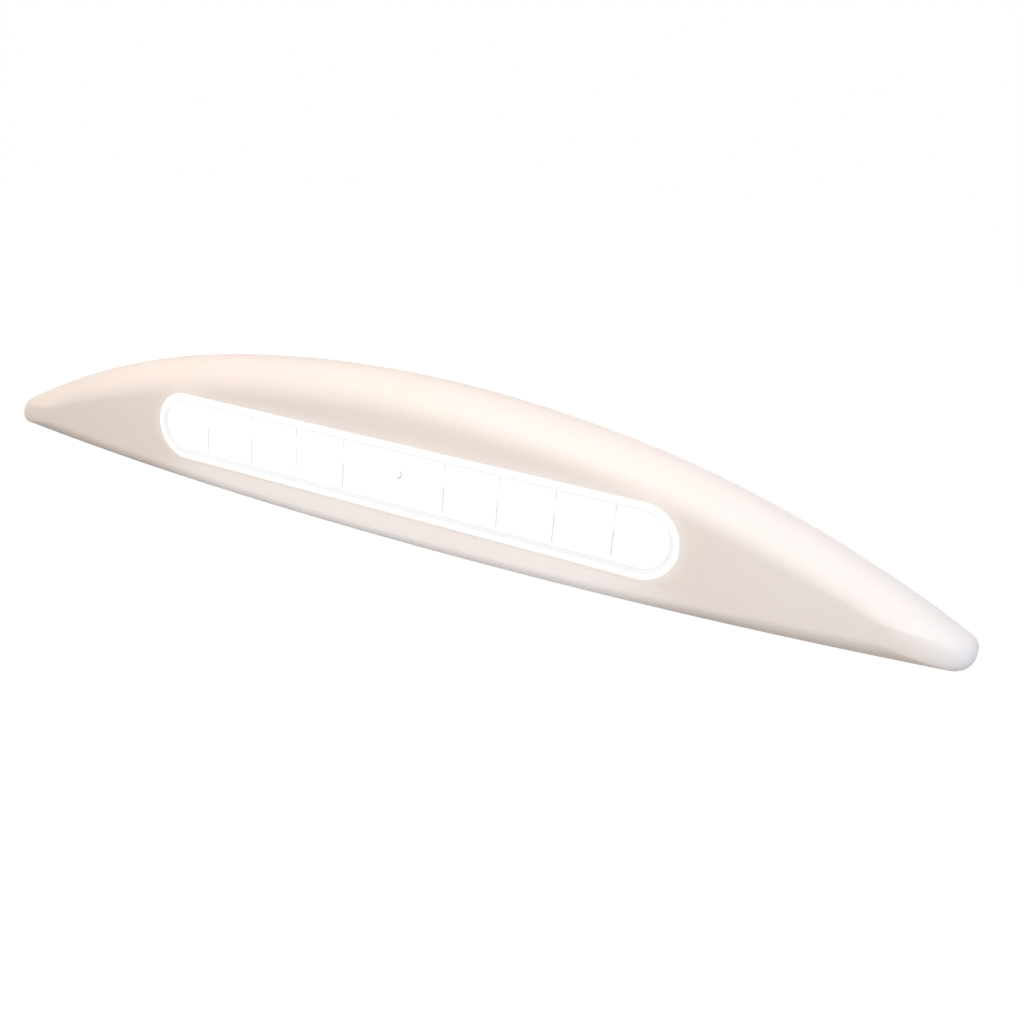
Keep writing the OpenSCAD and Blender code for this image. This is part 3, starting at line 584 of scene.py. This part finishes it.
class Graph:
    """Short calls for a node tree. A value is a number, a vector, a colour or another node's output."""

    def __init__(self, tree):
        self.tree = tree

    def link(self, source, target):
        self.tree.links.new(source, target)

    def fill(self, socket, value):
        if isinstance(value, bpy.types.NodeSocket):
            self.link(value, socket)
        elif socket.type == "RGBA":
            socket.default_value = (*value, 1)
        else:
            socket.default_value = value

    def node(self, kind, values=(), **settings):
        """New node with its settings, and its first inputs filled with the values."""
        made = self.tree.nodes.new(kind)
        for key, setting in settings.items():
            setattr(made, key, setting)
        for socket, value in zip(made.inputs, values):
            self.fill(socket, value)
        return made

    def math(self, operation, *values):
        return self.node("ShaderNodeMath", values, operation=operation).outputs["Value"]

    def vector_math(self, operation, *values):
        made = self.node("ShaderNodeVectorMath", values, operation=operation)
        return made.outputs["Value" if operation == "DOT_PRODUCT" else "Vector"]

    def length(self, a, b):
        """Length of the vector (a, b)."""
        squares = self.math("ADD", self.math("MULTIPLY", a, a), self.math("MULTIPLY", b, b))
        return self.math("SQRT", squares)

    def split(self, vector):
        made = self.node("ShaderNodeSeparateXYZ", (vector,))
        return made.outputs["X"], made.outputs["Y"], made.outputs["Z"]

    def ramp(self, value, low, high, to_low=0, to_high=1):
        """Smooth step of the value from low to high, put out from to_low to to_high."""
        values = (value, low, high, to_low, to_high)
        return self.node("ShaderNodeMapRange", values, interpolation_type="SMOOTHSTEP").outputs["Result"]

    def mixed(self, kind, *values):
        """Mix node of a kind of data, from its factor and two values."""
        made = self.node("ShaderNodeMix", data_type=kind)
        *places, result = MIX_SOCKETS[kind]
        for place, value in zip(places, values):
            self.fill(made.inputs[place], value)
        return made.outputs[result]

    def blend(self, factor, first, second):
        """Number between two numbers."""
        return self.mixed("FLOAT", factor, first, second)

    def mix(self, factor, first, second):
        """Colour between two colours."""
        return self.mixed("RGBA", factor, first, second)


class Material(Graph):
    """A procedural material on one Principled shader, with object coordinates in metres."""

    def __init__(self, name, colour, roughness, metallic=0, ior=1.5, **sockets):
        self.name = name
        self.data = bpy.data.materials.new(name)
        self.data.use_nodes = True
        self.data.diffuse_color = (*colour, 1)
        super().__init__(self.data.node_tree)
        self.shader = self.tree.nodes["Principled BSDF"]
        self.coords = self.node("ShaderNodeTexCoord").outputs["Object"]
        self.colour = colour
        self.roughness = roughness
        self.put("Base Color", colour)
        self.put("Roughness", roughness)
        self.put("Metallic", metallic)
        self.put("IOR", ior)
        for key, value in sockets.items():
            self.put(key.replace("_", " "), value)

    def put(self, name, value):
        """Fills one of the shader's own sockets."""
        self.fill(self.shader.inputs[name], value)

    def noise(self, size, detail=3, stretch=(1, 1, 1)):
        """Noise of a size in metres."""
        place = self.node("ShaderNodeMapping")
        self.fill(place.inputs["Vector"], self.coords)
        self.fill(place.inputs["Scale"], stretch)
        made = self.node("ShaderNodeTexNoise")
        self.fill(made.inputs["Vector"], place.outputs["Vector"])
        self.fill(made.inputs["Scale"], 1 / size)
        self.fill(made.inputs["Detail"], detail)
        return made.outputs["Fac"]

    def patches(self, size, low=0, high=1, **extra):
        """Soft patches of noise from low to high."""
        return self.ramp(self.noise(size, **extra), NOISE_LOW, NOISE_HIGH, low, high)

    def mottle(self, size, amount, **extra):
        """Soft patches a little darker and lighter than the colour."""
        dark = tuple(c * (1 - amount) for c in self.colour)
        light = tuple(min(1, c * (1 + amount)) for c in self.colour)
        colour = self.mix(self.patches(size, **extra), dark, light)
        self.put("Base Color", colour)
        return colour

    def polish(self, size, amount, **extra):
        """Patches of more and less gloss."""
        low = max(LEAST_ROUGHNESS, self.roughness - amount)
        high = min(1, self.roughness + amount)
        self.put("Roughness", self.patches(size, low, high, **extra))

    def relief(self, height, depth):
        """Relief from a height between 0 and 1, as deep as given in metres."""
        bump = self.node("ShaderNodeBump")
        self.fill(bump.inputs["Distance"], depth)
        self.fill(bump.inputs["Height"], height)
        self.put("Normal", bump.outputs["Normal"])

    def grain(self, size, depth, **extra):
        """Fine relief of the given size and depth, in metres."""
        self.relief(self.noise(size, **extra), depth)

    def glow(self, strength, colour=(1, 1, 1)):
        """Light that the surface seems to give."""
        self.put("Emission Color", colour)
        self.put("Emission Strength", strength)

    def from_window_line(self):
        """Distance from the line between the centres of the window's round ends."""
        x, _, z = self.split(self.coords)
        past = self.math("SUBTRACT", self.math("ABSOLUTE", x), WINDOW_LINE_HALF)
        return self.length(self.math("MAXIMUM", past, 0), z)

    def facing_front(self):
        """1 on faces that look out of the wall, 0 on faces along the depth."""
        _, y, _ = self.split(self.node("ShaderNodeNewGeometry").outputs["True Normal"])
        return self.ramp(self.math("ABSOLUTE", y), SIDE_NORMAL, FRONT_NORMAL)


def painted_window_glow(m):
    """Share of the painted glow on the cover round the window: a close band all round, and the strip
    below.
    """
    x, _, z = m.split(m.coords)
    distance = m.from_window_line()
    wide = m.ramp(distance, WINDOW_R + WIDE_REACH, WINDOW_R, 0, WIDE_SHARE)
    close = m.ramp(distance, WINDOW_R + CLOSE_REACH, WINDOW_R + CLOSE_FULL, 0, CLOSE_SHARE)
    below = m.ramp(z, BELOW_START - WINDOW_R, -WINDOW_R - BELOW_FULL)
    middle = m.ramp(m.math("ABSOLUTE", x), BELOW_HALF_END, BELOW_HALF)
    return m.math("MAXIMUM", m.math("ADD", wide, close), m.math("MULTIPLY", below, middle))


def cover_plastic():
    """Satin off-white plastic, a little translucent, with a painted glow round the window and on the strip
    below it.
    """
    m = Material("cover_plastic", (0.86, 0.775, 0.70), roughness=0.42, Specular_IOR_Level=0.2,
                 Subsurface_Weight=0.06, Subsurface_Scale=4 * MM, Subsurface_Radius=(1.0, 0.7, 0.45))
    # painted glow: the cover shines round the window and on the strip below it
    m.glow(m.math("MULTIPLY", painted_window_glow(m), PAINTED_GLOW_STRENGTH), PAINTED_GLOW_COLOUR)
    m.mottle(size=50 * MM, amount=0.012, detail=2)
    m.polish(size=12 * MM, amount=0.03)
    m.grain(size=0.9 * MM, depth=0.004 * MM, detail=2)
    return m


def lens_shade(m):
    """The painted grey shade band on the lens's front, the band's painted glow level, and 1 on all that
    lies behind the wall.
    """
    _, y, z = m.split(m.coords)
    distance = m.from_window_line()
    outward = m.math("ADD", distance, m.ramp(z, NARROW_FROM, NARROW_TO, 0, BAND_NARROWING))
    inner = m.ramp(distance, STEP_R - BAND_IN, STEP_R - BAND_IN + BAND_BLUR)
    outer = m.ramp(outward, STEP_R + BAND_OUT, STEP_R + BAND_OUT - BAND_BLUR)
    behind = m.ramp(y, y_at(WALL), y_at(WALL + FLANGE_BLUR))
    shade = m.math("MULTIPLY", m.math("MULTIPLY", inner, outer), m.math("SUBTRACT", 1, behind))
    faint = m.ramp(outward, STEP_R, STEP_R + BAND_OUT - BAND_BLUR / 2, *BAND_GLOW)
    return shade, faint, behind


def clear_lens():
    """Clear pane in a rim with painted glow, with a faint grey band of painted shade where the rim steps
    down, narrower at the top.
    """
    m = Material("clear_lens", (1, 1, 1), roughness=0.03, ior=1.49, Transmission_Weight=1)
    rim = m.ramp(m.from_window_line(), STEP_R - RIM_BLUR, STEP_R)
    shade, faint, behind = lens_shade(m)
    # painted glow on the rim and the flange, dimmer in the painted shade band
    lit = m.blend(behind, m.blend(shade, RIM_GLOW, faint), FLANGE_GLOW)
    m.glow(m.math("MULTIPLY", m.math("MAXIMUM", rim, shade), lit))
    # the painted shade band is black under its painted glow
    m.put("Base Color", m.mix(shade, (1, 1, 1), (0, 0, 0)))
    m.polish(size=10 * MM, amount=0.01)
    m.grain(size=4 * MM, depth=0.003 * MM, detail=1)
    return m


def reflector_white():
    """White walls with a painted glow that stands in for the packages' light, and front edges on the frame
    and the dividers painted darker, with a painted glare band along the dividers' edges.
    """
    m = Material("reflector_white", (0.9, 0.9, 0.9), roughness=0.3)
    _, y, z = m.split(m.coords)
    foremost = m.ramp(y, y_at(REFLECTOR_D + EDGE_SKIN_END), y_at(REFLECTOR_D + EDGE_SKIN))
    edge = m.math("MULTIPLY", m.facing_front(), foremost)
    frame_in = STEP_R - FRAME_T
    on_frame = m.ramp(m.from_window_line(), frame_in - FRAME_BLUR, frame_in)
    from_glare = m.math("ABSOLUTE", m.math("SUBTRACT", z, GLARE_Z))
    glare = m.ramp(from_glare, GLARE_NEAR, GLARE_FAR, *GLARE_GLOW)
    # painted glow: bright walls, dimmer front edges, and a painted glare band along the dividers' edges
    m.glow(m.blend(edge, CELL_GLOW, m.blend(on_frame, glare, FRAME_GLOW)))
    # front edges painted dark as painted shade
    m.put("Base Color", m.mix(edge, m.mottle(size=3 * MM, amount=0.02), EDGE_SHADE_COLOUR))
    m.grain(size=0.6 * MM, depth=0.01 * MM)
    return m


def steel_painted_glare():
    """The reflector's screw: a painted glow washes it out, standing in for the glare of the packages
    beside it, but for an arc of the head's edge that is painted darker.
    """
    m = Material("steel_painted_glare", (0.3, 0.2, 0.17), roughness=0.4, metallic=0.6)
    x, _, z = m.split(m.coords)
    reach = m.length(x, z)
    ring = m.math("MULTIPLY", m.ramp(reach, RING_IN, RING_IN_FULL), m.ramp(reach, RING_OUT, RING_OUT_FULL))
    across = m.math("SUBTRACT", x, m.math("MULTIPLY", z, ARC_TILT))
    arc = m.math("MULTIPLY", ring, m.ramp(across, 0, ARC_BLUR))
    # painted glow over the head, dimmer on the arc of painted shade
    m.glow(m.blend(arc, HEAD_GLOW, ARC_GLOW), SCREW_GLOW_COLOUR)
    m.mottle(size=1 * MM, amount=0.1)
    m.grain(size=0.5 * MM, depth=0.004 * MM)
    return m


def painted_glow_board():
    m = Material("board_white", (0.9, 0.9, 0.88), roughness=0.35)
    # painted glow: the board shines as if lit by its packages
    m.glow(strength=1)
    m.mottle(size=4 * MM, amount=0.02)
    m.grain(size=0.5 * MM, depth=0.004 * MM)
    return m


def package_white():
    m = Material("package_white", (0.92, 0.91, 0.86), roughness=0.35)
    # painted glow on the package's body, standing in for the phosphor's light
    m.glow(strength=1.1, colour=(1, 0.98, 0.93))
    m.mottle(size=1 * MM, amount=0.03)
    return m


def glowing_phosphor():
    m = Material("glowing_phosphor", (1, 0.93, 0.7), roughness=0.5)
    m.glow(strength=5, colour=(1, 0.96, 0.88))
    m.mottle(size=0.4 * MM, amount=0.05)
    return m


def plastic(name, colour, roughness=0.5, size=0.8 * MM, depth=0.008 * MM, patches=0.015):
    m = Material(name, colour, roughness)
    m.mottle(size=12 * MM, amount=patches)
    m.polish(size=6 * MM, amount=0.05)
    m.grain(size, depth)
    return m


def rubber(name, colour):
    m = Material(name, colour, roughness=0.75, Sheen_Weight=0.15)
    m.mottle(size=4 * MM, amount=0.12)
    m.grain(size=0.4 * MM, depth=0.02 * MM)
    return m


def gasket_foam():
    """Closed-cell foam with small round pores, their floors painted darker as painted shade."""
    m = Material("gasket_foam", (0.09, 0.09, 0.095), roughness=0.9)
    cells = m.node("ShaderNodeTexVoronoi", feature="F1")
    m.fill(cells.inputs["Vector"], m.coords)
    m.fill(cells.inputs["Scale"], 1 / PORE_SIZE)
    wall = m.ramp(cells.outputs["Distance"], PORE_FLOOR, PORE_RIM)
    # pore floors painted darker: painted shade
    m.put("Base Color", m.mix(wall, tuple(c * PORE_SHADE for c in m.colour), m.colour))
    m.relief(wall, PORE_DEPTH)
    return m


def metal(name, colour, roughness, brushed=(1, 1, 1)):
    m = Material(name, colour, roughness, metallic=1)
    m.mottle(size=3 * MM, amount=0.06, stretch=brushed)
    m.polish(size=1.2 * MM, amount=0.08, stretch=brushed)
    m.grain(size=0.3 * MM, depth=0.003 * MM, stretch=brushed)
    return m


def make_materials():
    """One material for each of the record's slots."""
    made = [cover_plastic(), clear_lens(), reflector_white(), painted_glow_board(), package_white(),
            glowing_phosphor(), gasket_foam()]
    made += [rubber(name, colour) for name, colour in RUBBERS.items()]
    made += [metal(name, **look) for name, look in METALS.items()]
    made += [plastic(name, **look) for name, look in PLASTICS.items()]
    return {m.name: m for m in made}


def dress_nodes(materials):
    """Gives each CAD node the material of its slot in the record."""
    for row in frame["record"]["subparts"]:
        obj = nodes[row["node"]]
        data = materials[row["material_slot"]].data
        if not obj.material_slots:
            obj.data.materials.append(data)
        for slot in obj.material_slots:
            slot.material = data
    nodes["reflector_screw"].material_slots[0].material = steel_painted_glare().data


def camera():
    """The photograph's view: from the front right and a little above, rolled so that the lamp slants."""
    right = Vector((0.88413, 0.46002, 0.08184))
    up = Vector((-0.22435, 0.26433, 0.93797))
    back = Vector((0.40986, -0.84765, 0.33691))
    data = bpy.data.cameras.new("camera")
    data.lens = 37.03
    data.sensor_width = 36
    data.clip_start = 0.01
    data.clip_end = 50
    obj = bpy.data.objects.new("camera", data)
    place = Matrix((right, up, back)).transposed().to_4x4()
    place.translation = (0.20040, -0.32486, 0.12146)
    obj.matrix_world = place
    bpy.context.scene.collection.objects.link(obj)
    bpy.context.scene.camera = obj


def lamp(name, place, size, power, colour, aim):
    data = bpy.data.lights.new(name, "AREA")
    data.shape = "RECTANGLE"
    data.size, data.size_y = size
    data.energy = power
    data.color = colour
    obj = bpy.data.objects.new(name, data)
    obj.location = place
    obj.rotation_euler = (Vector(aim) - Vector(place)).to_track_quat("-Z", "Y").to_euler()
    obj.visible_camera = False
    bpy.context.scene.collection.objects.link(obj)


def seen_ray(g):
    """1 for rays that show the background: straight, mirrored or through glass."""
    path = g.node("ShaderNodeLightPath")
    bent = g.math("MAXIMUM", path.outputs["Is Glossy Ray"], path.outputs["Is Transmission Ray"])
    return g.math("MAXIMUM", path.outputs["Is Camera Ray"], bent)


def ambient(g):
    """Soft light with its own colour from each of the ambient directions."""
    direction = g.node("ShaderNodeTexCoord").outputs["Generated"]
    total = (0, 0, 0)
    for side, colour in AMBIENT:
        facing = g.math("MAXIMUM", g.vector_math("DOT_PRODUCT", direction, side), 0)
        weighted = g.vector_math("MULTIPLY", colour, g.math("POWER", facing, 2))
        total = g.vector_math("ADD", total, weighted)
    return total


def world():
    """The ambient light, and plain white wherever the background is seen."""
    data = bpy.data.worlds.new("studio")
    bpy.context.scene.world = data
    data.use_nodes = True
    g = Graph(data.node_tree)
    soft = g.tree.nodes["Background"]
    g.fill(soft.inputs["Color"], ambient(g))
    white = g.node("ShaderNodeBackground")
    g.fill(white.inputs["Color"], (1, 1, 1))
    g.fill(white.inputs["Strength"], 1)
    both = g.node("ShaderNodeMixShader", (seen_ray(g), soft.outputs[0], white.outputs[0]))
    g.link(both.outputs[0], g.tree.nodes["World Output"].inputs["Surface"])


def floor():
    """A pale floor well below the lamp, which hangs on a wall: it looks white and keeps a soft shadow."""
    bm = bmesh.new()
    bmesh.ops.create_grid(bm, x_segments=1, y_segments=1, size=FLOOR_HALF)
    obj = mesh_object("floor", bm)
    obj.location.z = -FLOOR_DROP
    m = Material("floor", (0.4, 0.4, 0.39), roughness=0.9)
    m.glow(m.math("MULTIPLY", seen_ray(m), FLOOR_LIFT))
    obj.data.materials.append(m.data)


bpy.context.scene.view_settings.view_transform = "Standard"
camera()
for row in LAMPS:
    lamp(*row)
world()
floor()
materials = make_materials()
dress_nodes(materials)
cover = build_cover()
cover.data.materials.append(materials["cover_plastic"].data)
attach(cover, "root")
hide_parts("housing")
